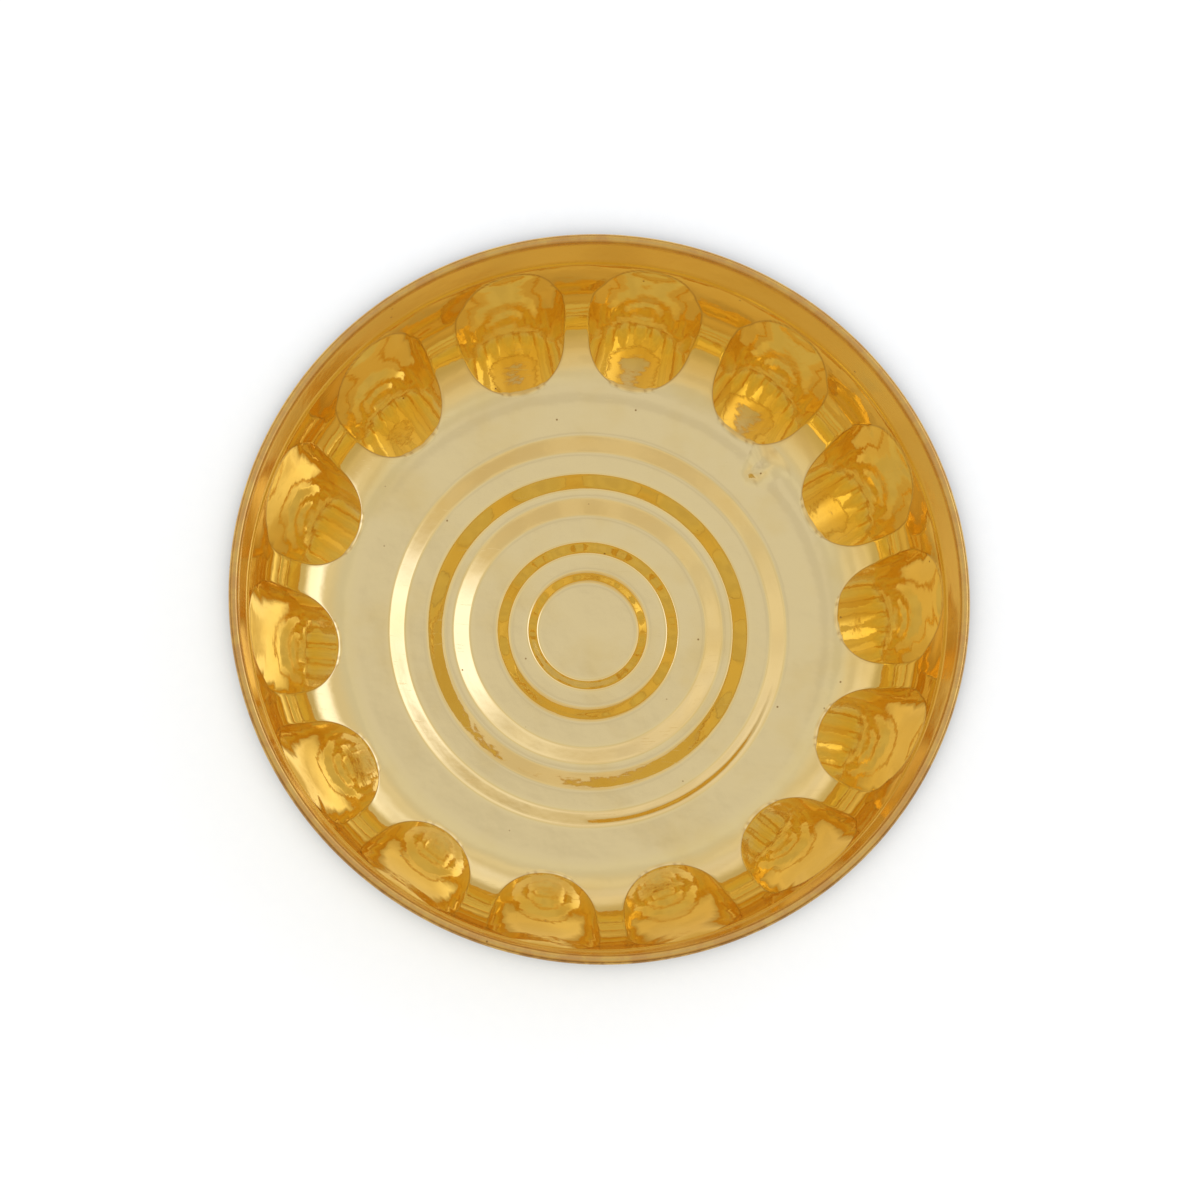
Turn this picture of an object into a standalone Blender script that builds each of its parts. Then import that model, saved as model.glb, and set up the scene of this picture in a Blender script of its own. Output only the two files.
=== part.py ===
"""Offering plate: a deep round dish pressed from one sheet of brass, wired at the rim.

The sheet is one open skin turned about the Z axis, pushed inward at fourteen bosses round
the foot of the wall, then given its thickness.  The bead at the top edge is the sheet
itself, rolled outward and down round a loose ring of wire.

Frame: metres, +Z up, origin on the dish axis at the height of the resting flats.
"""
import math

import bmesh
import bpy

# ---- overall size ---------------------------------------------------------------------
RIM_RADIUS = 0.1000          # outside of the rolled bead
HEIGHT = 0.0556              # resting flats to the top of the bead
SHEET = 0.0006               # thickness of the brass sheet

# ---- rolled bead and its wire ---------------------------------------------------------
WIRE_RADIUS = 0.00045
WIRE_CLEARANCE = 0.0003      # air between the wire and the curl
CURL_RADIUS = WIRE_RADIUS + WIRE_CLEARANCE + SHEET
CURL_END = -115.0            # degrees; the curl stops short of the wall and leaves a slit
CURL_ROWS = 8
WIRE_STEPS = 72
WIRE_SIDES = 8

# ---- wall and foot fillet -------------------------------------------------------------
WALL_ANGLE = 78.0            # degrees above the horizontal
FOOT_RADIUS = 0.0283
FOOT_SLOPES = (0.0, 8.0, 16.0, 24.0, 32.0, 41.0, 50.0, 59.0, 68.0, 78.0)
WALL_LEVELS = (0.0300, 0.0350, 0.0404)
RIDGE_LEVEL = 0.0422         # pressed line round the wall
RIDGE_HALF = 0.0011
RIDGE_PROUD = 0.0003

# ---- base: stepped rings --------------------------------------------------------------
STEP = 0.0025                # height of a ring top above the resting flats
RING_STEPS = (               # radius, share of STEP
    (0.0138, 0.0), (0.0167, 1.0),
    (0.0216, 1.0), (0.0252, 0.0),
    (0.0325, 0.0), (0.0374, 1.0),
    (0.0397, 1.0), (0.0445, 0.0),
    (0.0504, 0.0), (0.0550, 1.0),
)

# ---- bosses round the foot ------------------------------------------------------------
BOSSES = 14
FIRST_BOSS = 9.5             # degrees, clockwise from +Y
BOSS_DRIFT = (               # degrees that each boss was pressed off its even place
    0.3, 0.8, 1.6, 0.1, -0.6, -0.9, -0.5, -0.9, -0.7, -0.9, -0.5, -0.4, 0.3, 1.2,
)
BOSS_START_RADIUS = 0.0682   # where a boss face leaves the base
BOSS_TOP_LEVEL = 0.0402      # where it runs out on the wall
BOSS_SLOPES = (              # share of the way up the face, degrees
    (0.0, 44.2), (0.19, 44.2), (0.37, 49.0), (0.60, 60.0), (0.76, 67.0), (0.88, 69.0),
    (1.0, 66.5),
)
BOSS_ROUNDS = (              # share of the way up the face, radius across the boss
    (0.0, 0.0305), (0.30, 0.0300), (0.42, 0.0330), (0.57, 0.0410), (0.75, 0.0600),
    (0.88, 0.0950), (1.0, 0.1500),
)
BOSS_COLUMNS = 3             # columns from the middle of a boss to its edge
FACE_STEPS = 40
FACE_RUN_ON = 0.040          # how far the face line is drawn on past both ends

# ---- mesh density ---------------------------------------------------------------------
COLUMNS_PER_BOSS = 2 * (BOSS_COLUMNS + 1)
BOSS_STEPS = BOSSES * COLUMNS_PER_BOSS
PLAIN_STEPS = BOSS_STEPS // 2
PITCH = 2.0 * math.pi / BOSSES

# ---- colours --------------------------------------------------------------------------
BRASS_COLOR = (0.83, 0.60, 0.19, 1.0)
STEEL_COLOR = (0.48, 0.48, 0.47, 1.0)

# ---- derived --------------------------------------------------------------------------
FLAT_LEVEL = SHEET
PLATEAU_LEVEL = SHEET + STEP
BEAD_CENTRE_RADIUS = RIM_RADIUS - CURL_RADIUS
BEAD_CENTRE_LEVEL = HEIGHT - CURL_RADIUS
WALL_TOP_RADIUS = BEAD_CENTRE_RADIUS - CURL_RADIUS * math.sin(math.radians(WALL_ANGLE))
WALL_TOP_LEVEL = BEAD_CENTRE_LEVEL + CURL_RADIUS * math.cos(math.radians(WALL_ANGLE))
FOOT_END_LEVEL = PLATEAU_LEVEL + FOOT_RADIUS * (1.0 - math.cos(math.radians(WALL_ANGLE)))
FOOT_END_RADIUS = WALL_TOP_RADIUS - (WALL_TOP_LEVEL - FOOT_END_LEVEL) / math.tan(
    math.radians(WALL_ANGLE))
FOOT_START_RADIUS = FOOT_END_RADIUS - FOOT_RADIUS * math.sin(math.radians(WALL_ANGLE))
PLAIN_EDGE_RADIUS = 0.5 * (RING_STEPS[-1][0] + FOOT_START_RADIUS)


def clear_scene():
    for item in list(bpy.data.objects):
        bpy.data.objects.remove(item, do_unlink=True)


def wall_radius(level):
    """Radius of the plain wall's inner face at a level above the foot fillet."""
    return FOOT_END_RADIUS + (level - FOOT_END_LEVEL) / math.tan(math.radians(WALL_ANGLE))


# ---- section of the upper and inner skin, as (radius, level) ---------------------------
def base_section():
    points = [(0.0, FLAT_LEVEL)]
    for radius, share in RING_STEPS:
        points.append((radius, FLAT_LEVEL + share * STEP))
    points.append((PLAIN_EDGE_RADIUS, PLATEAU_LEVEL))
    return points


def foot_section():
    points = []
    for slope in FOOT_SLOPES:
        angle = math.radians(slope)
        radius = FOOT_START_RADIUS + FOOT_RADIUS * math.sin(angle)
        level = PLATEAU_LEVEL + FOOT_RADIUS * (1.0 - math.cos(angle))
        points.append((radius, level))
    for level in WALL_LEVELS:
        points.append((wall_radius(level), level))
    return points


def rim_section():
    low = RIDGE_LEVEL - RIDGE_HALF
    high = RIDGE_LEVEL + RIDGE_HALF
    points = [
        (wall_radius(low), low),
        (wall_radius(RIDGE_LEVEL) - RIDGE_PROUD, RIDGE_LEVEL),
        (wall_radius(high), high),
    ]
    start = 90.0 + WALL_ANGLE
    for row in range(CURL_ROWS + 1):
        angle = math.radians(start + (CURL_END - start) * row / CURL_ROWS)
        radius = BEAD_CENTRE_RADIUS + CURL_RADIUS * math.cos(angle)
        level = BEAD_CENTRE_LEVEL + CURL_RADIUS * math.sin(angle)
        points.append((radius, level))
    return points


# ---- boss face: a bent line from the base to the wall, rounded across --------------------
def read_table(table, share):
    """Value at one share of the way along a table of (share, value)."""
    for near, far in zip(table[:-1], table[1:]):
        if share <= far[0]:
            return near[1] + (far[1] - near[1]) * (share - near[0]) / (far[0] - near[0])
    return table[-1][1]


def boss_face():
    """Middle line of a boss as (radius, level, slope, roundness), run on at both ends."""
    start = (BOSS_START_RADIUS, PLATEAU_LEVEL)
    end = (wall_radius(BOSS_TOP_LEVEL), BOSS_TOP_LEVEL)
    shares = [step / FACE_STEPS for step in range(FACE_STEPS + 1)]
    slopes = [math.radians(read_table(BOSS_SLOPES, share)) for share in shares]
    path = [(0.0, 0.0)]
    for near, far in zip(slopes[:-1], slopes[1:]):
        middle = 0.5 * (near + far)
        path.append((path[-1][0] + math.cos(middle), path[-1][1] + math.sin(middle)))
    wanted = (end[0] - start[0], end[1] - start[1])
    turn = math.atan2(wanted[1], wanted[0]) - math.atan2(path[-1][1], path[-1][0])
    size = math.hypot(*wanted) / math.hypot(*path[-1])
    cosine, sine = size * math.cos(turn), size * math.sin(turn)
    face = []
    for share, slope, (along, up) in zip(shares, slopes, path):
        face.append((start[0] + cosine * along - sine * up,
                     start[1] + sine * along + cosine * up,
                     slope + turn, read_table(BOSS_ROUNDS, share)))
    first, last = face[0], face[-1]
    before = (first[0] - FACE_RUN_ON * math.cos(first[2]),
              first[1] - FACE_RUN_ON * math.sin(first[2]), first[2], first[3])
    after = (last[0] + FACE_RUN_ON * math.cos(last[2]),
             last[1] + FACE_RUN_ON * math.sin(last[2]), last[2], last[3])
    return [before] + face + [after]


def foot_on_face(face, radius, level):
    """Nearest point of the face line: its radius, level, slope and roundness."""
    best = None
    for near, far in zip(face[:-1], face[1:]):
        run = (far[0] - near[0], far[1] - near[1])
        square = run[0] ** 2 + run[1] ** 2
        share = ((radius - near[0]) * run[0] + (level - near[1]) * run[1]) / square
        share = min(1.0, max(0.0, share))
        spot = [a + (b - a) * share for a, b in zip(near, far)]
        gap = math.hypot(radius - spot[0], level - spot[1])
        if best is None or gap < best[0]:
            best = (gap, spot)
    return best[1]


def boss_push(face, radius, level, across):
    """Move a point lying behind the boss face onto it; return its radius and level."""
    spot = foot_on_face(face, radius, level)
    away = (math.sin(spot[2]), -math.cos(spot[2]))
    depth = (radius - spot[0]) * away[0] + (level - spot[1]) * away[1]
    fall = spot[3] - math.sqrt(max(0.0, spot[3] ** 2 - across ** 2))
    if depth <= fall:
        return radius, level, depth - fall
    return spot[0] + away[0] * fall, spot[1] + away[1] * fall, depth - fall


def boss_half_angle(face, radius, level):
    """Angle from the middle of a boss to its outline, on one ring of the plain skin."""
    low, high = 0.0, 0.5 * PITCH
    for _ in range(30):
        middle = 0.5 * (low + high)
        across = radius * math.sin(middle)
        excess = boss_push(face, radius * math.cos(middle), level, across)[2]
        if excess > 0.0:
            low = middle
        else:
            high = middle
    return low


def drift_at(count, offset):
    """Angle by which a column is off its even place: a boss moves as one, the gap follows."""
    own = BOSS_DRIFT[count % BOSSES]
    beside = BOSS_DRIFT[(count + (1 if offset > 0.0 else -1)) % BOSSES]
    inside = BOSS_COLUMNS * PITCH / COLUMNS_PER_BOSS
    hold = min(1.0, (0.5 * PITCH - abs(offset)) / (0.5 * PITCH - inside))
    between = 0.5 * (own + beside)
    return math.radians(between + (own - between) * hold)


def slide_column(offset, half):
    """Spread evenly spaced columns so that one of them runs along the boss outline."""
    inside = BOSS_COLUMNS * PITCH / COLUMNS_PER_BOSS
    size = abs(offset)
    if size <= inside:
        moved = half * size / inside
    else:
        moved = half + (0.5 * PITCH - half) * (size - inside) / (0.5 * PITCH - inside)
    return math.copysign(moved, offset)


def press_bosses(ring_verts):
    face = boss_face()
    smallest = 0.22 * PITCH
    halves = {}
    for vert in ring_verts:
        radius = math.hypot(vert.co.x, vert.co.y)
        level = vert.co.z
        key = (round(radius, 7), round(level, 7))
        if key not in halves:
            halves[key] = max(smallest, boss_half_angle(face, radius, level))
        turn = math.atan2(vert.co.x, vert.co.y) - math.radians(FIRST_BOSS)
        count = round(turn / PITCH)
        middle = count * PITCH
        drift = drift_at(count, turn - middle)
        offset = slide_column(turn - middle, halves[key])
        along, up, _ = boss_push(face, radius * math.cos(offset), level,
                                 radius * math.sin(offset))
        across = radius * math.sin(offset)
        heading = middle + math.radians(FIRST_BOSS) + drift
        vert.co.x = along * math.sin(heading) + across * math.cos(heading)
        vert.co.y = along * math.cos(heading) - across * math.sin(heading)
        vert.co.z = up


# ---- turning and joining the bands -------------------------------------------------------
def turn_band(mesh, section, steps):
    """Turn one run of the section about Z; return its vertices and its two end rings."""
    heading = math.radians(FIRST_BOSS)
    chain = []
    for radius, level in section:
        chain.append(mesh.verts.new((radius * math.sin(heading), radius * math.cos(heading),
                                     level)))
    edges = [mesh.edges.new(pair) for pair in zip(chain[:-1], chain[1:])]
    before = set(mesh.verts) - set(chain)
    bmesh.ops.spin(mesh, geom=chain + edges, cent=(0.0, 0.0, 0.0), axis=(0.0, 0.0, 1.0),
                   angle=2.0 * math.pi, steps=steps, use_merge=True)
    made = [vert for vert in mesh.verts if vert not in before]
    bmesh.ops.remove_doubles(mesh, verts=made, dist=1.0e-6)
    return [vert for vert in mesh.verts if vert not in before]


def ring_edges(verts, radius, level):
    """Edges of the open ring at one end of a band."""
    found = set()
    for vert in verts:
        for edge in vert.link_edges:
            if not edge.is_boundary:
                continue
            if all(abs(math.hypot(end.co.x, end.co.y) - radius) < 1.0e-6
                   and abs(end.co.z - level) < 1.0e-6 for end in edge.verts):
                found.add(edge)
    return list(found)


def make_skin():
    mesh = bmesh.new()
    base, foot, rim = base_section(), foot_section(), rim_section()
    base_verts = turn_band(mesh, base, PLAIN_STEPS)
    foot_verts = turn_band(mesh, foot, BOSS_STEPS)
    rim_verts = turn_band(mesh, rim, PLAIN_STEPS)
    base_edge = ring_edges(base_verts, *base[-1])
    foot_low = ring_edges(foot_verts, *foot[0])
    foot_high = ring_edges(foot_verts, *foot[-1])
    rim_edge = ring_edges(rim_verts, *rim[0])
    bmesh.ops.bridge_loops(mesh, edges=base_edge + foot_low)
    bmesh.ops.bridge_loops(mesh, edges=foot_high + rim_edge)
    press_bosses(foot_verts)
    bmesh.ops.recalc_face_normals(mesh, faces=mesh.faces[:])
    mesh.faces.ensure_lookup_table()
    centre = min(mesh.faces, key=lambda face: face.calc_center_median().xy.length)
    if centre.normal.z < 0.0:
        bmesh.ops.reverse_faces(mesh, faces=mesh.faces[:])
    return mesh


# ---- materials -----------------------------------------------------------------------
def metal(name, color, roughness):
    material = bpy.data.materials.new(name)
    material.use_nodes = True
    shader = material.node_tree.nodes["Principled BSDF"]
    shader.inputs["Base Color"].default_value = color
    shader.inputs["Metallic"].default_value = 1.0
    shader.inputs["Roughness"].default_value = roughness
    return material


def add_object(name, mesh, material):
    data = bpy.data.meshes.new(name)
    mesh.to_mesh(data)
    mesh.free()
    data.shade_smooth()
    data.materials.append(material)
    item = bpy.data.objects.new(name, data)
    bpy.context.scene.collection.objects.link(item)
    return item


# ---- sub-parts -------------------------------------------------------------------------
def build_dish():
    """Pressed brass sheet: base rings, bosses, wall and the curl of the bead."""
    dish = add_object("dish", make_skin(), metal("polished_brass", BRASS_COLOR, 0.12))
    thickness = dish.modifiers.new("sheet", "SOLIDIFY")
    thickness.thickness = SHEET
    thickness.offset = -1.0
    thickness.use_even_offset = True
    thickness.use_quality_normals = True
    return dish


def build_rim_wire():
    """Ring of steel wire lying loose inside the curl."""
    mesh = bmesh.new()
    section = bmesh.ops.create_circle(mesh, cap_ends=False, radius=WIRE_RADIUS,
                                      segments=WIRE_SIDES)["verts"]
    for vert in section:
        vert.co = (BEAD_CENTRE_RADIUS + vert.co.x, 0.0, BEAD_CENTRE_LEVEL + vert.co.y)
    bmesh.ops.spin(mesh, geom=section + mesh.edges[:], cent=(0.0, 0.0, 0.0),
                   axis=(0.0, 0.0, 1.0), angle=2.0 * math.pi, steps=WIRE_STEPS,
                   use_merge=True)
    bmesh.ops.remove_doubles(mesh, verts=mesh.verts[:], dist=1.0e-6)
    bmesh.ops.recalc_face_normals(mesh, faces=mesh.faces[:])
    return add_object("rim_wire", mesh, metal("steel_wire", STEEL_COLOR, 0.38))


clear_scene()
build_dish()
build_rim_wire()
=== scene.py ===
"""Offering plate: the finished look of the pressed brass dish on a pale studio floor.

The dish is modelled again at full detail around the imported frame: an inner face turned
about Z, pushed inward at the bosses, an outer face a sheet's thickness behind it, and the
two joined at the end of the curl.  Lengths are in metres, +Z up.
"""
import math

import bmesh
import bpy
import numpy as np
from mathutils import Matrix, Vector


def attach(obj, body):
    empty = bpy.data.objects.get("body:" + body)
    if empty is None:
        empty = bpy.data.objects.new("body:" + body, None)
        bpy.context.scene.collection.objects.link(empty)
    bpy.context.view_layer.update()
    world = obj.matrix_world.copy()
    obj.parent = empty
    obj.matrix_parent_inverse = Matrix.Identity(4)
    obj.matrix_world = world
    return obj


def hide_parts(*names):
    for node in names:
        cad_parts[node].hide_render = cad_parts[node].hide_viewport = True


# ---- overall size ---------------------------------------------------------------------
RIM_RADIUS = 0.1000
HEIGHT = 0.0556
SHEET = 0.0006

# ---- rolled bead -----------------------------------------------------------------------
CURL_RADIUS = 0.00135
CURL_END = -115.0
CURL_ROWS = 18

# ---- wall and foot fillet ----------------------------------------------------------------
WALL_ANGLE = 78.0
FOOT_RADIUS = 0.0283
WALL_BAND_TOP = 0.0404       # the fine foot band ends here, the rim band begins
RIDGE_LEVEL = 0.0422
RIDGE_HALF = 0.0011
RIDGE_PROUD = 0.00045

# ---- base rings ------------------------------------------------------------------------
STEP = 0.0025
RING_STEPS = (
    (0.0138, 0.0), (0.0167, 1.0),
    (0.0216, 1.0), (0.0252, 0.0),
    (0.0325, 0.0), (0.0374, 1.0),
    (0.0397, 1.0), (0.0445, 0.0),
    (0.0504, 0.0), (0.0550, 1.0),
)
RING_SOFTNESS = 0.00036
RING_FINE_STEP = 0.0001      # spacing of the line that is softened
RING_BELL_STEPS = 30         # fine steps to each side that the softening reaches
RING_MARGIN = 0.004          # how far the line runs on past both ends while it is softened
RING_BEND_WEIGHT = 0.0016    # extra rows at the bends, in metres per radian

# ---- bosses ----------------------------------------------------------------------------
BOSSES = 14
PITCH = 2.0 * math.pi / BOSSES
FIRST_BOSS = 9.5             # degrees clockwise from +Y
BOSS_DRIFT = (                # degrees that each boss was pressed off its even place
    0.3, 0.8, 1.6, 0.1, -0.6, -0.9, -0.5, -0.9, -0.7, -0.9, -0.5, -0.4, 0.3, 1.2,
)
BOSS_START_RADIUS = 0.0682
BOSS_TOP_LEVEL = 0.0402
BOSS_SLOPES = (               # share of the way up the face, degrees
    (0.0, 43.6), (0.22, 43.8), (0.37, 49.6), (0.60, 60.0), (0.76, 66.6), (0.88, 68.5),
    (1.0, 66.0),
)
BOSS_ROUNDS = (               # share of the way up the face, radius across
    (0.0, 0.0305), (0.30, 0.0300), (0.42, 0.0330), (0.57, 0.0410), (0.75, 0.0600),
    (0.88, 0.0950), (1.0, 0.1500),
)
FACE_STEPS = 60
FACE_RUN_ON = 0.04           # how far the face line is drawn on past both ends
OUTLINE_STEPS = 400          # fineness of the search for a boss's outline
SMALLEST_HALF = 0.20 * PITCH
# attribute that holds the painted shade along each boss crease and along the dent's fold
CREASE_SHADE_MASK = "painted_crease_shade"
CREASE_DEPTH = 0.00009

# ---- marks of hand work ------------------------------------------------------------------
DENT_HEADING = 45.5          # degrees
DENT_RADIUS = 0.0606
DENT_LENGTH = 0.0120
DENT_HALF_WIDTH = 0.0064
DENT_DEPTH = 0.00130
DENT_POINT = 0.15            # width at the point, as a share of the half width
DENT_FOLD_SHADE = 0.5             # how dark the painted shade along the folded line gets
SCORE_HEADINGS = (100.0, 186.0)
SCORE_RADIUS = 0.0532
SCORE_DEPTH = 0.00016
SCORE_WIDTH = 0.00048
SCORE_REACH = 0.0016

# ---- mesh density ------------------------------------------------------------------------
BASE_COLUMNS = 224
FOOT_COLUMNS_EACH = 40
FOOT_INSIDE_SHARE = 0.72     # share of the columns that lie on the boss
CROWD_INSIDE = 1.5           # how strongly they crowd towards its outline
CROWD_OUTSIDE = 1.3
BASE_ROWS = 108
FOOT_ROWS = 68
RIM_STEPS = 8                # rows on the pressed line, and on the wall above it
BACK_COARSENING = 2
MERGE_DISTANCE = 1.0e-6

# ---- derived -----------------------------------------------------------------------------
FLAT_LEVEL = SHEET
PLATEAU_LEVEL = SHEET + STEP
BEAD_CENTRE_RADIUS = RIM_RADIUS - CURL_RADIUS
BEAD_CENTRE_LEVEL = HEIGHT - CURL_RADIUS
WALL_SINE = math.sin(math.radians(WALL_ANGLE))
WALL_COSINE = math.cos(math.radians(WALL_ANGLE))
WALL_TOP_RADIUS = BEAD_CENTRE_RADIUS - CURL_RADIUS * WALL_SINE
WALL_TOP_LEVEL = BEAD_CENTRE_LEVEL + CURL_RADIUS * WALL_COSINE
FOOT_END_LEVEL = PLATEAU_LEVEL + FOOT_RADIUS * (1.0 - WALL_COSINE)
FOOT_END_RADIUS = WALL_TOP_RADIUS - (WALL_TOP_LEVEL - FOOT_END_LEVEL) * WALL_COSINE / WALL_SINE
FOOT_START_RADIUS = FOOT_END_RADIUS - FOOT_RADIUS * WALL_SINE
BASE_EDGE_RADIUS = 0.0600
FOOT_EDGE_RADIUS = BASE_EDGE_RADIUS + 0.0012
FOOT_LINE_STEPS = 120

# ---- colours -----------------------------------------------------------------------------
BRASS_RUBBED = (0.88, 0.70, 0.31, 1.0)      # flats and rings, rubbed pale
BRASS_GOLDEN = (0.88, 0.645, 0.165, 1.0)    # foot, bosses and wall
BRASS_DEEP = (0.80, 0.54, 0.12, 1.0)        # wall above the pressed line, and faint clouds
STAIN_AND_CREASE_SHADE = (0.30, 0.15, 0.04, 1.0)       # painted shade in the creases and along the dent's fold, and the colour of the specks
BEAD_TONE = (0.60, 0.30, 0.10, 1.0)
BEAD_OUTER_SHADE = (0.30, 0.15, 0.04, 1.0)      # painted shade on the outer side of the bead
WIRE_STEEL = (0.48, 0.48, 0.47, 1.0)
WIRE_RUST = (0.22, 0.13, 0.08, 1.0)

# ---- surface, in metres above the resting flats or from the axis --------------------------
GOLDEN_LEVELS = (0.004, 0.012)
BRUSHED_LEVELS = (RIDGE_LEVEL - 0.002, RIDGE_LEVEL + 0.001)
BEAD_LEVELS = (BEAD_CENTRE_LEVEL - 0.0006, BEAD_CENTRE_LEVEL + 0.0002)
# painted shade on the outer side of the bead, darker towards the near side
BEAD_SHADE_RADII = (BEAD_CENTRE_RADIUS + 0.0004, BEAD_CENTRE_RADIUS + 0.0011)
BEAD_SHADE_SIDE = (0.05, -0.08)                # along Y, from the far side to the near side
BEAD_SHADE_AMOUNT = (0.30, 0.95)
POLISH_ROUGHNESS = (0.045, 0.11)            # cleanest and most smeared
WAVE_DEPTH = 0.00022
SPIN_LINE_DEPTH = 0.0000025
SPIN_LINE_WOBBLE = 0.0012
SCRATCH_DEPTH = 0.00001

# ---- floor ---------------------------------------------------------------------------------
FLOOR_SIZE = 6.0
FLOOR_CLEARANCE = 0.00005     # keeps the floor from lying in the same plane as the flats
FLOOR_TINT = (0.90, 0.96, 1.0, 1.0)
FLOOR_GREYS = (0.54, 0.56)
FLOOR_GLOW = 0.70
FLOOR_ROUGHNESS = 0.9
SHADOW_CENTRE = (0.0037, 0.0104, 0.0)   # soft pool of shade round the foot of the dish
SHADOW_RADIUS = 0.1028
SHADOW_FADE = 0.0031
SHADOW_DEPTH = 0.36

# ---- light: places in the sky are given as components of their direction ------------------
SKY_BANDS = (                 # height of the direction, colour
    (0.00, (0.45, 0.40, 0.34)),
    (0.30, (0.62, 0.55, 0.46)),
    (0.55, (0.74, 0.66, 0.57)),
    (0.80, (0.79, 0.75, 0.74)),
    (0.93, (0.74, 0.75, 0.86)),
    (1.00, (0.71, 0.72, 0.88)),
)
NEAR_SIDE = (-0.15, -0.65)    # along Y
NEAR_SIDE_SHADE = (0.95, 0.90, 0.82, 1.0)
SOFT_BOXES = (                # side, where the glow starts and is full along it, its colour
    ("X", 0.05, 0.35, (0.14, 0.17, 0.26)), ("X", 0.50, 0.78, (0.52, 0.64, 1.20)),
    ("X", -0.35, -0.70, (0.10, 0.11, 0.16)), ("Y", 0.15, 0.60, (0.10, 0.13, 0.26)),
)
BOX_LOWER_EDGE = (0.34, 0.50)
BOX_UPPER_EDGE = (0.76, 0.63)
BOX_NEAR_EDGE = (-0.35, 0.05)
UNEVEN_LIGHT = ((0.95, 0.935, 0.91, 1.0), (1.04, 1.03, 1.01, 1.0))
UNEVEN_SCALE = 5.0
BACKDROP_WHITE = (0.96, 0.96, 0.96, 1.0)
MIRROR_BOUNCES = 12

# ---- view ----------------------------------------------------------------------------------
VIEW_TILT = 11.2              # degrees off straight down
VIEW_HEADING = 19.65          # degrees that the camera stands round from -Y towards -X
VIEW_DISTANCE = 2.0
VIEW_AIM = (-0.0002, -0.0013, HEIGHT)
FRAME_WIDTH = 0.32265         # width seen at the height of the rim
SENSOR = 36.0                 # millimetres


def wall_radius(level):
    return FOOT_END_RADIUS + (level - FOOT_END_LEVEL) * WALL_COSINE / WALL_SINE


# ---- section -------------------------------------------------------------------------------
def spread_rows(points, rows, bend_weight):
    """Even out a fine section line into rows, closer together where it bends."""
    line = np.array(points)
    runs = np.diff(line, axis=0)
    lengths = np.hypot(runs[:, 0], runs[:, 1])
    headings = np.unwrap(np.arctan2(runs[:, 1], runs[:, 0]))
    bends = np.abs(np.diff(headings, prepend=headings[0]))
    measure = np.concatenate([[0.0], np.cumsum(lengths + bend_weight * bends)])
    marks = np.linspace(0.0, measure[-1], rows + 1)
    radii = np.interp(marks, measure, line[:, 0])
    levels = np.interp(marks, measure, line[:, 1])
    return [(float(radius), float(level)) for radius, level in zip(radii, levels)]


def base_section(rows):
    """The stepped rings, softened as a press leaves them."""
    radii = np.arange(-RING_MARGIN, BASE_EDGE_RADIUS + RING_MARGIN, RING_FINE_STEP)
    knots = [(0.0, 0.0)] + list(RING_STEPS)
    shares = np.interp(np.abs(radii), [knot[0] for knot in knots], [knot[1] for knot in knots])
    reach = np.arange(-RING_BELL_STEPS, RING_BELL_STEPS + 1) * RING_FINE_STEP
    bell = np.exp(-0.5 * (reach / RING_SOFTNESS) ** 2)
    bell /= bell.sum()
    soft = np.convolve(shares, bell, mode="same")
    keep = (radii >= -1.0e-9) & (radii <= BASE_EDGE_RADIUS + 1.0e-9)
    points = list(zip(radii[keep], FLAT_LEVEL + STEP * soft[keep]))
    points[0] = (0.0, FLAT_LEVEL)
    section = spread_rows(points, rows, RING_BEND_WEIGHT)
    section[-1] = (BASE_EDGE_RADIUS, PLATEAU_LEVEL)
    return section


def foot_section(rows):
    points = [(FOOT_EDGE_RADIUS, PLATEAU_LEVEL), (FOOT_START_RADIUS, PLATEAU_LEVEL)]
    for step in range(1, FOOT_LINE_STEPS + 1):
        angle = math.radians(WALL_ANGLE * step / FOOT_LINE_STEPS)
        points.append((FOOT_START_RADIUS + FOOT_RADIUS * math.sin(angle),
                       PLATEAU_LEVEL + FOOT_RADIUS * (1.0 - math.cos(angle))))
    points.append((wall_radius(WALL_BAND_TOP), WALL_BAND_TOP))
    return spread_rows(points, rows, 0.0)


def rim_section():
    """The pressed line, the wall above it and the curl of the bead."""
    points = []
    for step in range(RIM_STEPS + 1):
        share = step / RIM_STEPS
        level = RIDGE_LEVEL - RIDGE_HALF + 2.0 * RIDGE_HALF * share
        proud = RIDGE_PROUD * math.sin(math.pi * share) ** 2
        points.append((wall_radius(level) - proud, level))
    ridge_top = points[-1][1]
    for step in range(1, RIM_STEPS):
        level = ridge_top + (WALL_TOP_LEVEL - ridge_top) * step / RIM_STEPS
        points.append((wall_radius(level), level))
    start = 90.0 + WALL_ANGLE
    for row in range(CURL_ROWS + 1):
        angle = math.radians(start + (CURL_END - start) * row / CURL_ROWS)
        points.append((BEAD_CENTRE_RADIUS + CURL_RADIUS * math.cos(angle),
                       BEAD_CENTRE_LEVEL + CURL_RADIUS * math.sin(angle)))
    return points


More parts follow.
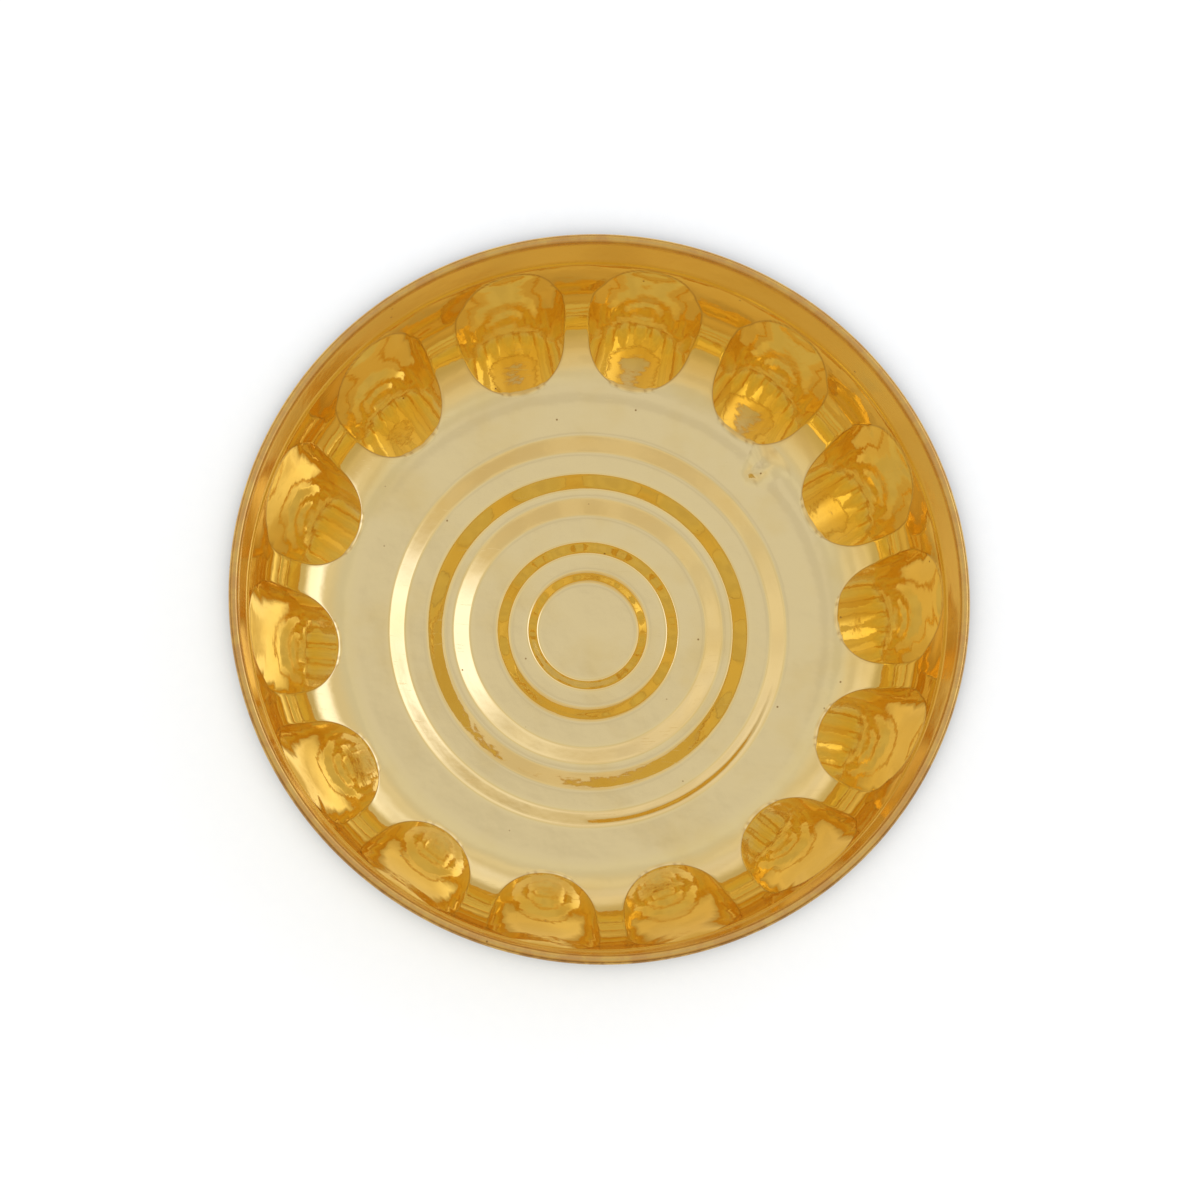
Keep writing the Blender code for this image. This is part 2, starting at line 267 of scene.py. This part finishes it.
# ---- boss face -------------------------------------------------------------------------------
def boss_face():
    """Middle line of a boss: arrays of radius, level, slope and roundness across."""
    shares = np.linspace(0.0, 1.0, FACE_STEPS + 1)
    knots = np.array(BOSS_SLOPES)
    slopes = np.radians(np.interp(shares, knots[:, 0], knots[:, 1]))
    start = np.array([BOSS_START_RADIUS, PLATEAU_LEVEL])
    end = np.array([wall_radius(BOSS_TOP_LEVEL), BOSS_TOP_LEVEL])
    middles = 0.5 * (slopes[1:] + slopes[:-1])
    steps = np.stack([np.cos(middles), np.sin(middles)], axis=1) / FACE_STEPS
    path = np.concatenate([[[0.0, 0.0]], np.cumsum(steps, axis=0)])
    wanted = end - start
    turn = math.atan2(wanted[1], wanted[0]) - math.atan2(path[-1, 1], path[-1, 0])
    size = np.hypot(*wanted) / np.hypot(*path[-1])
    spin = np.array([[math.cos(turn), math.sin(turn)], [-math.sin(turn), math.cos(turn)]])
    line = start + size * path @ spin
    slopes = slopes + turn
    rounds = np.interp(shares, *np.array(BOSS_ROUNDS).T)
    before = line[0] - FACE_RUN_ON * np.array([math.cos(slopes[0]), math.sin(slopes[0])])
    after = line[-1] + FACE_RUN_ON * np.array([math.cos(slopes[-1]), math.sin(slopes[-1])])
    line = np.concatenate([[before], line, [after]])
    slopes = np.concatenate([[slopes[0]], slopes, [slopes[-1]]])
    rounds = np.concatenate([[rounds[0]], rounds, [rounds[-1]]])
    return line, slopes, rounds


def boss_push(face, radii, levels, across):
    """Move points lying behind the boss face onto it; also return how far behind they lay."""
    line, slopes, rounds = face
    spots = np.stack([radii, levels], axis=1)
    best = np.full(len(spots), np.inf)
    near = np.zeros(len(spots), int)
    along = np.zeros(len(spots))
    for index in range(len(line) - 1):
        run = line[index + 1] - line[index]
        share = np.clip((spots - line[index]) @ run / (run @ run), 0.0, 1.0)
        gap = ((spots - line[index] - share[:, None] * run) ** 2).sum(axis=1)
        closer = gap < best
        best[closer] = gap[closer]
        near[closer] = index
        along[closer] = share[closer]
    foot = line[near] * (1.0 - along)[:, None] + line[near + 1] * along[:, None]
    slope = slopes[near] * (1.0 - along) + slopes[near + 1] * along
    bend = rounds[near] * (1.0 - along) + rounds[near + 1] * along
    away = np.stack([np.sin(slope), -np.cos(slope)], axis=1)
    depth = ((spots - foot) * away).sum(axis=1)
    fall = bend - np.sqrt(np.maximum(bend ** 2 - across ** 2, 0.0))
    behind = depth - fall
    pushed = np.where((behind > 0.0)[:, None], foot + away * fall[:, None], spots)
    return pushed[:, 0], pushed[:, 1], behind


def boss_half_angle(face, radius, level):
    """Angle from the middle of a boss to its outline, on one ring of the plain face."""
    angles = np.linspace(0.0, 0.5 * PITCH, OUTLINE_STEPS)
    _, _, behind = boss_push(face, radius * np.cos(angles), np.full(OUTLINE_STEPS, level),
                             radius * np.sin(angles))
    inside = np.nonzero(behind > 0.0)[0]
    if len(inside) == 0:
        return 0.0
    return float(angles[inside[-1]])


def slide_columns(shares, half):
    """Crowd the columns of half a pitch together on both sides of the boss outline."""
    inside = shares <= FOOT_INSIDE_SHARE
    inner = np.clip(shares / FOOT_INSIDE_SHARE, 0.0, 1.0)
    outer = np.clip((shares - FOOT_INSIDE_SHARE) / (1.0 - FOOT_INSIDE_SHARE), 0.0, 1.0)
    near = half * (1.0 - (1.0 - inner) ** CROWD_INSIDE)
    far = half + (0.5 * PITCH - half) * outer ** CROWD_OUTSIDE
    return np.where(inside, near, far)


def press_bosses(verts, shade_layer):
    """Push the bosses inward and mark the fine line where each one leaves the sheet, for painted
    shade along that crease.
    """
    face = boss_face()
    rings = {}
    for vert in verts:
        key = (round(math.hypot(vert.co.x, vert.co.y), 7), round(vert.co.z, 7))
        rings.setdefault(key, []).append(vert)
    for (radius, level), ring in rings.items():
        half = max(SMALLEST_HALF, boss_half_angle(face, radius, level))
        turns = np.array([math.atan2(vert.co.x, vert.co.y) for vert in ring])
        turns -= math.radians(FIRST_BOSS)
        count = np.round(turns / PITCH)
        offsets = turns - count * PITCH
        shares = np.abs(offsets) / (0.5 * PITCH)
        offsets = np.sign(offsets) * slide_columns(shares, half)
        across = radius * np.sin(offsets)
        along, up, behind = boss_push(face, radius * np.cos(offsets),
                                      np.full(len(ring), level), across)
        # painted shade along the crease where each boss leaves the sheet
        marks = np.exp(-(behind / CREASE_DEPTH) ** 2)
        drifts = np.radians(BOSS_DRIFT)
        own = drifts[count.astype(int) % BOSSES]
        between = 0.5 * (own + drifts[(count + np.sign(offsets)).astype(int) % BOSSES])
        hold = np.clip((1.0 - shares) / (1.0 - FOOT_INSIDE_SHARE), 0.0, 1.0)
        heading = count * PITCH + math.radians(FIRST_BOSS) + between + (own - between) * hold
        for index, vert in enumerate(ring):
            vert[shade_layer] = float(marks[index])
            sine, cosine = math.sin(heading[index]), math.cos(heading[index])
            vert.co = (along[index] * sine + across[index] * cosine,
                       along[index] * cosine - across[index] * sine, up[index])


# ---- marks of hand work ------------------------------------------------------------------------
def dent_foot(verts, shade_layer):
    """A pointed dent in the plateau, widening outward between two bosses, with painted shade
    along its fold and its edges.
    """
    for vert in verts:
        radius = math.hypot(vert.co.x, vert.co.y)
        beyond = radius - DENT_RADIUS
        if not 0.0 < beyond < DENT_LENGTH:
            continue
        aside = (math.atan2(vert.co.x, vert.co.y) - math.radians(DENT_HEADING)) * radius
        half = DENT_HALF_WIDTH * (DENT_POINT + beyond / DENT_LENGTH)
        share = max(0.0, 1.0 - abs(aside) / half)
        vert.co.z -= DENT_DEPTH * share * math.sin(math.pi * beyond / DENT_LENGTH)
        # painted shade along the fold and the edges of the dent
        if share > 0.0:
            fold_shade = DENT_FOLD_SHADE * (2.0 * share - 1.0) ** 6
            vert[shade_layer] = max(vert[shade_layer], fold_shade)


def score_base(verts):
    """A score line part of the way round the slope of the outer ring."""
    for vert in verts:
        heading = math.degrees(math.atan2(vert.co.x, vert.co.y))
        share = (heading - SCORE_HEADINGS[0]) / (SCORE_HEADINGS[1] - SCORE_HEADINGS[0])
        if not 0.0 < share < 1.0:
            continue
        beyond = math.hypot(vert.co.x, vert.co.y) - SCORE_RADIUS
        depth = SCORE_DEPTH * math.sin(math.pi * share) ** 0.6
        fade = math.exp(-(beyond / SCORE_REACH) ** 2)
        vert.co.z += depth * math.tanh(beyond / SCORE_WIDTH) * fade


# ---- turning ---------------------------------------------------------------------------------
def turn_band(mesh, section, columns):
    """Turn one run of the section through one pitch, then repeat it all the way round."""
    axis = {"cent": (0.0, 0.0, 0.0), "axis": (0.0, 0.0, 1.0)}
    heading = math.radians(FIRST_BOSS)
    sector = bmesh.new()
    chain = [sector.verts.new((radius * math.sin(heading), radius * math.cos(heading), level))
             for radius, level in section]
    edges = [sector.edges.new(pair) for pair in zip(chain[:-1], chain[1:])]
    bmesh.ops.spin(sector, geom=chain + edges, angle=PITCH, steps=columns // BOSSES, **axis)
    whole = sector.verts[:] + sector.edges[:] + sector.faces[:]
    bmesh.ops.spin(sector, geom=whole, angle=2.0 * math.pi, steps=BOSSES, use_duplicate=True,
                   **axis)
    bmesh.ops.remove_doubles(sector, verts=sector.verts[:], dist=MERGE_DISTANCE)
    data = bpy.data.meshes.new("band")
    sector.to_mesh(data)
    sector.free()
    before = len(mesh.verts)
    mesh.from_mesh(data)
    bpy.data.meshes.remove(data)
    mesh.verts.ensure_lookup_table()
    return mesh.verts[before:]


def end_ring(verts, radius, level):
    """Edges of the open ring at one end of a band."""
    found = set()
    for vert in verts:
        for edge in vert.link_edges:
            if edge.is_boundary and all(
                    abs(math.hypot(end.co.x, end.co.y) - radius) < 2.0 * MERGE_DISTANCE
                    and abs(end.co.z - level) < 2.0 * MERGE_DISTANCE for end in edge.verts):
                found.add(edge)
    return list(found)


def turn_face(mesh, coarsening):
    """One whole face of the sheet; returns its vertices, faces and open edge."""
    before = set(mesh.verts)
    base = base_section(BASE_ROWS // coarsening)
    foot = foot_section(FOOT_ROWS // coarsening)
    rim = rim_section()
    base_verts = turn_band(mesh, base, BASE_COLUMNS // coarsening)
    foot_verts = turn_band(mesh, foot, BOSSES * FOOT_COLUMNS_EACH // coarsening)
    rim_verts = turn_band(mesh, rim, BASE_COLUMNS // coarsening)
    bmesh.ops.bridge_loops(mesh, edges=end_ring(base_verts, *base[-1])
                           + end_ring(foot_verts, *foot[0]))
    bmesh.ops.bridge_loops(mesh, edges=end_ring(foot_verts, *foot[-1])
                           + end_ring(rim_verts, *rim[0]))
    lip = end_ring(rim_verts, *rim[-1])
    press_bosses(foot_verts, mesh.verts.layers.float[CREASE_SHADE_MASK])
    dent_foot(foot_verts, mesh.verts.layers.float[CREASE_SHADE_MASK])
    score_base(base_verts)
    verts = [vert for vert in mesh.verts if vert not in before]
    faces = list({face for vert in verts for face in vert.link_faces})
    bmesh.ops.recalc_face_normals(mesh, faces=faces)
    middle = min(faces, key=lambda face: face.calc_center_median().xy.length)
    if middle.normal.z < 0.0:
        bmesh.ops.reverse_faces(mesh, faces=faces)
    return verts, faces, lip


def model_dish():
    """Inner face, outer face a sheet's thickness behind it, joined at the end of the curl."""
    mesh = bmesh.new()
    mesh.verts.layers.float.new(CREASE_SHADE_MASK)
    _, _, front_lip = turn_face(mesh, 1)
    back_verts, back_faces, back_lip = turn_face(mesh, BACK_COARSENING)
    mesh.normal_update()
    for vert, normal in [(vert, vert.normal.copy()) for vert in back_verts]:
        vert.co -= normal * SHEET
    bmesh.ops.reverse_faces(mesh, faces=back_faces)
    bmesh.ops.bridge_loops(mesh, edges=front_lip + back_lip)
    data = bpy.data.meshes.new("pressed_dish")
    mesh.to_mesh(data)
    mesh.free()
    data.shade_smooth()
    dish = bpy.data.objects.new("pressed_dish", data)
    bpy.context.scene.collection.objects.link(dish)
    return dish


# ---- shader node helpers -----------------------------------------------------------------
def add_node(tree, kind, **settings):
    node = tree.nodes.new(kind)
    for name, value in settings.items():
        setattr(node, name, value)
    return node


def wire(tree, value, socket):
    if isinstance(value, bpy.types.NodeSocket):
        tree.links.new(value, socket)
    elif value is not None:
        socket.default_value = value


def calculate(tree, operation, first, second=None, third=None):
    node = add_node(tree, "ShaderNodeMath", operation=operation)
    for value, socket in zip((first, second, third), node.inputs):
        wire(tree, value, socket)
    return node.outputs[0]


def remap(tree, value, low, high, new_low=0.0, new_high=1.0):
    node = add_node(tree, "ShaderNodeMapRange", interpolation_type="SMOOTHSTEP")
    for number, socket in zip((value, low, high, new_low, new_high), node.inputs):
        wire(tree, number, socket)
    return node.outputs["Result"]


def noise(tree, place, scale, detail=2.0, roughness=0.5):
    node = add_node(tree, "ShaderNodeTexNoise", noise_dimensions="3D")
    wire(tree, place, node.inputs["Vector"])
    node.inputs["Scale"].default_value = scale
    node.inputs["Detail"].default_value = detail
    node.inputs["Roughness"].default_value = roughness
    return node.outputs["Fac"]


def combine_colors(tree, blend, share, first, second):
    node = add_node(tree, "ShaderNodeMix", data_type="RGBA", blend_type=blend)
    wire(tree, share, node.inputs["Factor"])
    wire(tree, first, node.inputs["A"])
    wire(tree, second, node.inputs["B"])
    return node.outputs["Result"]


def split_vector(tree, vector):
    parts = add_node(tree, "ShaderNodeSeparateXYZ")
    tree.links.new(vector, parts.inputs[0])
    return parts.outputs


def axis_distance(tree, parts):
    """Distance from the Z axis of a place given in parts."""
    flat = add_node(tree, "ShaderNodeCombineXYZ")
    tree.links.new(parts["X"], flat.inputs["X"])
    tree.links.new(parts["Y"], flat.inputs["Y"])
    length = add_node(tree, "ShaderNodeVectorMath", operation="LENGTH")
    tree.links.new(flat.outputs[0], length.inputs[0])
    return length.outputs["Value"]


def start_group(name, inputs, outputs):
    group = bpy.data.node_groups.new(name, "ShaderNodeTree")
    for label, kind, value in inputs:
        socket = group.interface.new_socket(label, in_out="INPUT", socket_type=kind)
        if value is not None:
            socket.default_value = value
    for label, kind in outputs:
        group.interface.new_socket(label, in_out="OUTPUT", socket_type=kind)
    return group, group.nodes.new("NodeGroupInput").outputs, group.nodes.new("NodeGroupOutput")


def use_group(tree, group, values):
    node = add_node(tree, "ShaderNodeGroup", node_tree=group)
    for label, value in values.items():
        wire(tree, value, node.inputs[label])
    return node.outputs


VECTOR = "NodeSocketVector"
FLOAT = "NodeSocketFloat"


# ---- surface effects -----------------------------------------------------------------------
def group_spin_lines():
    """Fine circles left by turning and buffing, as a height that follows the section."""
    group, given, result = start_group(
        "spin_lines", (("Place", VECTOR, None), ("Lines per Metre", FLOAT, 900.0)),
        (("Height", FLOAT),))
    parts = split_vector(group, given["Place"])
    along = calculate(group, "ADD", axis_distance(group, parts), parts["Z"])
    wobble = calculate(group, "MULTIPLY", noise(group, given["Place"], scale=40.0, detail=1.0),
                       SPIN_LINE_WOBBLE)
    along = calculate(group, "ADD", along, wobble)
    rings = add_node(group, "ShaderNodeTexNoise", noise_dimensions="1D")
    rings.inputs["Detail"].default_value = 3.0
    rings.inputs["Roughness"].default_value = 0.7
    wire(group, along, rings.inputs["W"])
    wire(group, given["Lines per Metre"], rings.inputs["Scale"])
    group.links.new(rings.outputs["Fac"], result.inputs["Height"])
    return group


def group_hand_waviness():
    """The slow unevenness of pressed sheet, as a height."""
    group, given, result = start_group(
        "hand_waviness", (("Place", VECTOR, None), ("Fine Share", FLOAT, 0.3)),
        (("Height", FLOAT),))
    broad = noise(group, given["Place"], scale=55.0, detail=1.0)
    fine = noise(group, given["Place"], scale=210.0, detail=2.0)
    total = calculate(group, "MULTIPLY_ADD", fine, given["Fine Share"], broad)
    group.links.new(total, result.inputs["Height"])
    return group


def group_scratches():
    """Short hairline scratches in three directions, as a mask."""
    group, given, result = start_group(
        "scratches", (("Place", VECTOR, None), ("Amount", FLOAT, 0.5)), (("Mask", FLOAT),))
    total = None
    for turn, stretch in ((0.5, 20.0), (1.9, 26.0), (2.7, 16.0)):
        mapping = add_node(group, "ShaderNodeMapping")
        mapping.inputs["Rotation"].default_value = (0.2 * turn, 0.1, turn)
        mapping.inputs["Scale"].default_value = (1.0, stretch, 1.0)
        group.links.new(given["Place"], mapping.inputs["Vector"])
        streaks = noise(group, mapping.outputs[0], scale=130.0, detail=3.0, roughness=0.6)
        mask = remap(group, streaks, 0.66, 0.72)
        patch = noise(group, given["Place"], scale=60.0 + 10.0 * turn, detail=1.0)
        patch = remap(group, patch, 0.5, 0.62)
        mask = calculate(group, "MULTIPLY", mask, patch)
        total = mask if total is None else calculate(group, "MAXIMUM", total, mask)
    total = calculate(group, "MULTIPLY", total, given["Amount"])
    group.links.new(total, result.inputs["Mask"])
    return group


def group_specks():
    """Scattered pinhead pits and dust specks, as a mask."""
    group, given, result = start_group(
        "specks", (("Place", VECTOR, None), ("Per Metre", FLOAT, 160.0),
                   ("Size", FLOAT, 0.06), ("Share", FLOAT, 0.12)), (("Mask", FLOAT),))
    cells = add_node(group, "ShaderNodeTexVoronoi", feature="F1")
    group.links.new(given["Place"], cells.inputs["Vector"])
    group.links.new(given["Per Metre"], cells.inputs["Scale"])
    dots = remap(group, cells.outputs["Distance"], given["Size"],
                 calculate(group, "MULTIPLY", given["Size"], 0.4))
    pick = add_node(group, "ShaderNodeSeparateColor")
    group.links.new(cells.outputs["Color"], pick.inputs[0])
    chosen = calculate(group, "LESS_THAN", pick.outputs[0], given["Share"])
    group.links.new(calculate(group, "MULTIPLY", dots, chosen), result.inputs["Mask"])
    return group


# ---- materials -----------------------------------------------------------------------------
def start_material(name):
    material = bpy.data.materials.new(name)
    material.use_nodes = True
    tree = material.node_tree
    shader = tree.nodes["Principled BSDF"]
    place = add_node(tree, "ShaderNodeTexCoord").outputs["Object"]
    return material, tree, shader, place


def bump(tree, height, distance, normal=None):
    node = add_node(tree, "ShaderNodeBump")
    node.inputs["Strength"].default_value = 1.0
    node.inputs["Distance"].default_value = distance
    wire(tree, height, node.inputs["Height"])
    if normal is not None:
        tree.links.new(normal, node.inputs["Normal"])
    return node.outputs["Normal"]


def brass_masks(tree, place):
    """Where the bead is worn, where its outer side gets painted shade, where the wall is brushed.
    """
    parts = split_vector(tree, place)
    bead = remap(tree, parts["Z"], *BEAD_LEVELS)
    worn = noise(tree, place, scale=160.0, detail=3.0, roughness=0.7)
    worn = remap(tree, worn, 0.35, 0.65)
    worn = calculate(tree, "MULTIPLY", calculate(tree, "MULTIPLY_ADD", worn, 0.5, 0.5), bead)
    # painted shade on the outer side of the bead, deeper towards the near side
    outer = remap(tree, axis_distance(tree, parts), *BEAD_SHADE_RADII)
    side = remap(tree, parts["Y"], *BEAD_SHADE_SIDE, *BEAD_SHADE_AMOUNT)
    bead_shade = calculate(tree, "MULTIPLY", calculate(tree, "MULTIPLY", outer, side), worn)
    brushed = remap(tree, parts["Z"], *BRUSHED_LEVELS)
    golden = remap(tree, parts["Z"], *GOLDEN_LEVELS)
    return worn, bead_shade, brushed, golden


def brass_color(tree, place, masks, specks_mask):
    worn, bead_shade, brushed, golden = masks
    color = combine_colors(tree, "MIX", golden, BRASS_RUBBED, BRASS_GOLDEN)
    cloud = noise(tree, place, scale=45.0, detail=3.0, roughness=0.6)
    cloud = remap(tree, cloud, 0.45, 0.80)
    deep = calculate(tree, "MULTIPLY_ADD", brushed, 0.6, calculate(tree, "MULTIPLY", cloud, 0.3))
    # painted shade along the boss creases and the dent's fold
    crease_darkening = add_node(tree, "ShaderNodeAttribute", attribute_name=CREASE_SHADE_MASK).outputs["Fac"]
    for share, layer in (
            (deep, BRASS_DEEP),
            (calculate(tree, "MULTIPLY", worn, 0.7), BEAD_TONE),
            # painted shade on the outer side of the bead
            (bead_shade, BEAD_OUTER_SHADE),
            (calculate(tree, "MULTIPLY", crease_darkening, 0.55), STAIN_AND_CREASE_SHADE),
            (calculate(tree, "MULTIPLY", specks_mask, 0.8), STAIN_AND_CREASE_SHADE)):
        color = combine_colors(tree, "MIX", share, color, layer)
    return color


def brass_roughness(tree, place, masks, scratch_mask, specks_mask):
    worn, _, brushed, _ = masks
    smear = noise(tree, place, scale=30.0, detail=4.0, roughness=0.65)
    rough = remap(tree, smear, 0.50, 0.75, *POLISH_ROUGHNESS)
    for mask, share in ((scratch_mask, 0.15), (specks_mask, 0.30), (worn, 0.13),
                        (brushed, 0.08)):
        rough = calculate(tree, "MULTIPLY_ADD", mask, share, rough)
    return rough


def polished_brass(spin_lines, waviness, scratches, specks):
    material, tree, shader, place = start_material("polished_brass")
    masks = brass_masks(tree, place)
    specks_mask = use_group(tree, specks, {"Place": place, "Per Metre": 230.0,
                                           "Size": 0.09, "Share": 0.10})["Mask"]
    scratch_mask = use_group(tree, scratches, {"Place": place, "Amount": 0.6})["Mask"]
    tree.links.new(brass_color(tree, place, masks, specks_mask), shader.inputs["Base Color"])
    tree.links.new(brass_roughness(tree, place, masks, scratch_mask, specks_mask),
                   shader.inputs["Roughness"])
    shader.inputs["Metallic"].default_value = 1.0
    wave = use_group(tree, waviness, {"Place": place, "Fine Share": 0.22})["Height"]
    lines = use_group(tree, spin_lines, {"Place": place, "Lines per Metre": 700.0})["Height"]
    normal = bump(tree, wave, WAVE_DEPTH)
    normal = bump(tree, lines, SPIN_LINE_DEPTH, normal)
    normal = bump(tree, scratch_mask, -SCRATCH_DEPTH, normal)
    tree.links.new(normal, shader.inputs["Normal"])
    return material


def steel_wire(scratches, specks):
    material, tree, shader, place = start_material("drawn_steel")
    spots = use_group(tree, specks, {"Place": place, "Per Metre": 900.0, "Size": 0.2,
                                     "Share": 0.3})["Mask"]
    color = combine_colors(tree, "MIX", spots, WIRE_STEEL, WIRE_RUST)
    tree.links.new(color, shader.inputs["Base Color"])
    drawn = use_group(tree, scratches, {"Place": place, "Amount": 0.5})["Mask"]
    tree.links.new(calculate(tree, "MULTIPLY_ADD", drawn, 0.3, 0.35), shader.inputs["Roughness"])
    shader.inputs["Metallic"].default_value = 1.0
    return material


def pale_floor():
    """Pale board that glows a little, with a soft shade round the foot of the dish."""
    material, tree, shader, place = start_material("pale_floor")
    grain = noise(tree, place, scale=300.0, detail=3.0)
    grain = remap(tree, grain, 0.3, 0.7, *FLOOR_GREYS)
    reach = add_node(tree, "ShaderNodeVectorMath", operation="DISTANCE")
    tree.links.new(place, reach.inputs[0])
    reach.inputs[1].default_value = SHADOW_CENTRE
    beyond = calculate(tree, "SUBTRACT", reach.outputs["Value"], SHADOW_RADIUS)
    fade = calculate(tree, "EXPONENT", calculate(tree, "MULTIPLY", beyond, -1.0 / SHADOW_FADE))
    fade = calculate(tree, "MINIMUM", fade, 1.0)
    light = calculate(tree, "MULTIPLY_ADD", fade, -SHADOW_DEPTH, 1.0)
    grain = calculate(tree, "MULTIPLY", grain, light)
    joined = add_node(tree, "ShaderNodeCombineColor")
    for socket in joined.inputs[:3]:
        tree.links.new(grain, socket)
    tree.links.new(joined.outputs[0], shader.inputs["Base Color"])
    shader.inputs["Roughness"].default_value = FLOOR_ROUGHNESS
    shader.inputs["Emission Color"].default_value = FLOOR_TINT
    tree.links.new(calculate(tree, "MULTIPLY", light, FLOOR_GLOW),
                   shader.inputs["Emission Strength"])
    return material


# ---- studio ----------------------------------------------------------------------------------
def sky_gradient(tree, height):
    bands = add_node(tree, "ShaderNodeValToRGB")
    tree.links.new(height, bands.inputs[0])
    ramp = bands.color_ramp
    ramp.interpolation = "EASE"
    ramp.elements[0].position, ramp.elements[1].position = 0.0, 1.0
    ramp.elements[0].color = (*SKY_BANDS[0][1], 1.0)
    ramp.elements[1].color = (*SKY_BANDS[-1][1], 1.0)
    for place, color in SKY_BANDS[1:-1]:
        ramp.elements.new(place).color = (*color, 1.0)
    return bands.outputs[0]


def studio_world():
    """Warm banded sky with soft boxes to the sides, and a white backdrop for the camera."""
    world = bpy.data.worlds.new("studio")
    bpy.context.scene.world = world
    world.use_nodes = True
    tree = world.node_tree
    direction = add_node(tree, "ShaderNodeTexCoord").outputs["Generated"]
    parts = split_vector(tree, direction)
    light = sky_gradient(tree, parts["Z"])
    near = remap(tree, parts["Y"], *NEAR_SIDE)
    shade = combine_colors(tree, "MIX", near, (1.0, 1.0, 1.0, 1.0), NEAR_SIDE_SHADE)
    light = combine_colors(tree, "MULTIPLY", 1.0, light, shade)
    drift = remap(tree, noise(tree, direction, UNEVEN_SCALE, detail=0.0), 0.35, 0.65)
    patches = combine_colors(tree, "MIX", drift, *UNEVEN_LIGHT)
    light = combine_colors(tree, "MULTIPLY", 1.0, light, patches)
    lower_edge = remap(tree, parts["Z"], *BOX_LOWER_EDGE)
    upper_edge = remap(tree, parts["Z"], *BOX_UPPER_EDGE)
    near_edge = remap(tree, parts["Y"], *BOX_NEAR_EDGE)
    inside = calculate(tree, "MULTIPLY", calculate(tree, "MULTIPLY", lower_edge, upper_edge),
                       near_edge)
    for side, start, full, color in SOFT_BOXES:
        share = calculate(tree, "MULTIPLY", remap(tree, parts[side], start, full), inside)
        light = combine_colors(tree, "ADD", share, light, (*color, 1.0))
    seen = add_node(tree, "ShaderNodeLightPath").outputs["Is Camera Ray"]
    tree.links.new(combine_colors(tree, "MIX", seen, light, BACKDROP_WHITE),
                   tree.nodes["Background"].inputs["Color"])


def studio_floor():
    mesh = bmesh.new()
    bmesh.ops.create_grid(mesh, x_segments=1, y_segments=1, size=0.5 * FLOOR_SIZE)
    data = bpy.data.meshes.new("floor")
    mesh.to_mesh(data)
    mesh.free()
    data.materials.append(pale_floor())
    floor = bpy.data.objects.new("floor", data)
    floor.location.z = -FLOOR_CLEARANCE
    bpy.context.scene.collection.objects.link(floor)


def studio_camera():
    tilt, heading = math.radians(VIEW_TILT), math.radians(VIEW_HEADING)
    back = Vector((-math.sin(heading) * math.sin(tilt), -math.cos(heading) * math.sin(tilt),
                   math.cos(tilt)))
    right = Vector((0.0, 1.0, 0.0)).cross(back).normalized()
    data = bpy.data.cameras.new("camera")
    data.sensor_width = SENSOR
    data.lens = SENSOR * VIEW_DISTANCE / FRAME_WIDTH
    camera = bpy.data.objects.new("camera", data)
    bpy.context.scene.collection.objects.link(camera)
    turn = Matrix((right, back.cross(right), back)).transposed().to_4x4()
    camera.matrix_world = Matrix.Translation(Vector(VIEW_AIM) + back * VIEW_DISTANCE) @ turn
    bpy.context.scene.camera = camera
    bpy.context.scene.view_settings.view_transform = "Standard"


def mirror_depth():
    """Let light pass between the polished walls as often as it does in the real dish."""
    light_paths = bpy.context.scene.cycles
    light_paths.max_bounces = MIRROR_BOUNCES
    light_paths.glossy_bounces = MIRROR_BOUNCES


# ---- assembly ----------------------------------------------------------------------------------
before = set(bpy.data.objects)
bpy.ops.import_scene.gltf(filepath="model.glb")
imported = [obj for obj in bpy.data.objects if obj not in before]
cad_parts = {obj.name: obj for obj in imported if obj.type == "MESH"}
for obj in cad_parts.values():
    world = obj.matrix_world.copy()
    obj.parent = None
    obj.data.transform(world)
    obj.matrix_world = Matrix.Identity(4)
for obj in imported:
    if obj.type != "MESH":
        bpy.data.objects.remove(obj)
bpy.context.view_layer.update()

lines_group = group_spin_lines()
waviness_group = group_hand_waviness()
scratch_group = group_scratches()
speck_group = group_specks()

dish = model_dish()
dish.data.materials.append(polished_brass(lines_group, waviness_group, scratch_group,
                                          speck_group))
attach(dish, "root")
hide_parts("dish")

rim_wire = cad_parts["rim_wire"]
rim_wire.data.materials.clear()
rim_wire.data.materials.append(steel_wire(scratch_group, speck_group))

studio_world()
studio_floor()
studio_camera()
mirror_depth()
